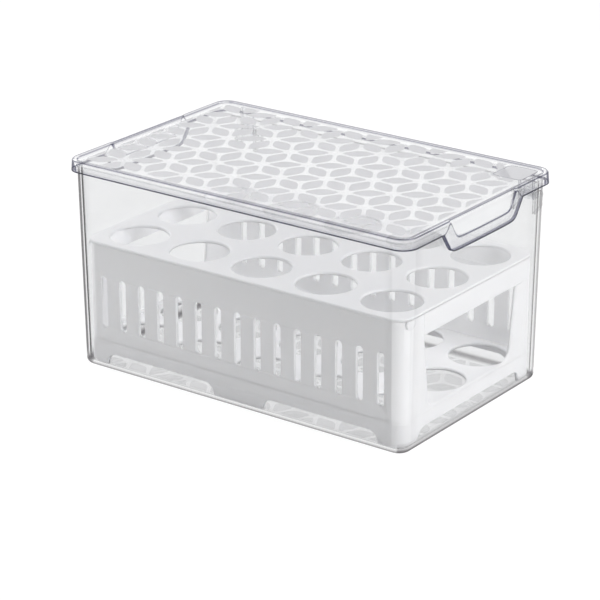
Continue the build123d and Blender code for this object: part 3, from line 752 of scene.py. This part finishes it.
def frosted_piece(name, outlines, levels, material, body):
    """Etched slabs as one piece."""
    new_piece(name, slab_mesh(name, outlines, levels), material, body)


pad_keep_off = (PAD_LOW[0] - WEB, PAD_LOW[1] - WEB)
frosted_piece("lid_cells", cell_outlines(FIELD_HALF, pad_keep_off), CELL_LEVELS, FROSTED_LID, "lid")
frosted_piece("lid_pad", pad_outline(0.0)[None], CELL_LEVELS, FROSTED_LID, "lid")
# a clear ring round the pad, with a painted dark line as its outline
pad_edge = ring_mesh("lid_pad_edge", pad_outline(PAD_EDGE_OUT), pad_outline(-PAD_EDGE_IN), PAD_EDGE_LEVELS,
                     PAD_EDGE_PAINTED_LINE)
new_piece("lid_pad_edge", pad_edge, CLEAR_LID, "lid")
frosted_piece("floor_cells", cell_outlines(FLOOR_FIELD_HALF), FLOOR_CELL_LEVELS, FROSTED_FLOOR, "bin")


# ---------------------------------------------------------------- floor, light, camera
def floor():
    """A wide pale floor. It throws back nearly all light, and looks evenly white wherever it is seen."""
    mesh = bpy.data.meshes.new("floor")
    r = FLOOR_HALF
    mesh.from_pydata([(-r, -r, 0), (r, -r, 0), (r, r, 0), (-r, r, 0)], [], [(0, 1, 2, 3)])
    t = material_tree("pale_floor")
    looked_at = seen(t)
    tone = t.add("MixRGB", {0: looked_at, 1: FLOOR_BOUNCE, 2: FLOOR_SEEN}).outputs[0]
    body = t.add("BsdfDiffuse", {"Color": tone}).outputs[0]
    strength = maths(t, "MULTIPLY", looked_at, FLOOR_GLOW)
    glow = t.add("Emission", {"Color": WHITE_LIGHT, "Strength": strength}).outputs[0]
    mesh.materials.append(t.surface(t.add("AddShader", {0: body, 1: glow}).outputs[0]))
    obj = bpy.data.objects.new("floor", mesh)
    bpy.context.scene.collection.objects.link(obj)


def world():
    """Even light for the object; white where it is seen directly, mirrored or through clear plastic."""
    studio = bpy.data.worlds.new("studio")
    bpy.context.scene.world = studio
    t = Tree(studio, "OutputWorld")
    light = t.add("Background", {"Color": WHITE_LIGHT, "Strength": SKY_LIGHT}).outputs[0]
    white = t.add("Background", {"Color": WHITE_LIGHT, "Strength": SKY_SEEN}).outputs[0]
    t.surface(t.add("MixShader", {0: seen(t), 1: light, 2: white}).outputs[0])


def lamp(name, at, size, power):
    """A square lamp turned towards the object."""
    data = bpy.data.lights.new(name, "AREA")
    data.shape = "RECTANGLE"
    data.size = data.size_y = size
    data.energy = power
    obj = bpy.data.objects.new(name, data)
    bpy.context.scene.collection.objects.link(obj)
    obj.location = at
    obj.rotation_euler = (Vector(LAMPS_TOWARDS) - Vector(at)).to_track_quat("-Z", "Y").to_euler()


def camera():
    """Turned about the upright axis, dropped from the level, and rolled about the line of sight."""
    data = bpy.data.cameras.new("camera")
    data.sensor_width = CAMERA_SENSOR
    data.lens = CAMERA_LENS
    data.clip_start, data.clip_end = CAMERA_NEAR, CAMERA_FAR
    data.shift_x = CAMERA_SHIFT
    obj = bpy.data.objects.new("camera", data)
    bpy.context.scene.collection.objects.link(obj)
    turn = Matrix.Rotation(CAMERA_TURN, 4, "Z")
    drop = Matrix.Rotation(radians(90) - CAMERA_DROP, 4, "X")
    roll = Matrix.Rotation(CAMERA_ROLL, 4, "Z")
    obj.matrix_world = Matrix.Translation(CAMERA_AT) @ turn @ drop @ roll
    bpy.context.scene.camera = obj


floor()
world()
lamp("key_right", (1.9, 0.1, 1.1), 1.2, 23.5)
lamp("key_front", (1.75, -0.62, 1.0), 0.8, 7)
lamp("top_soft", (0.1, 0.3, 2.0), 1.6, 21.5)
lamp("left_far", (-1.6, 0.2, 0.7), 1.0, 15)
lamp("left_front", (-0.45, -0.42, 0.30), 0.25, 0.62)
camera()
bpy.context.scene.view_settings.view_transform = "Standard"
bpy.context.scene.cycles.transparent_max_bounces = 32
bpy.context.scene.cycles.diffuse_bounces = 10
bpy.context.scene.cycles.max_bounces = 24
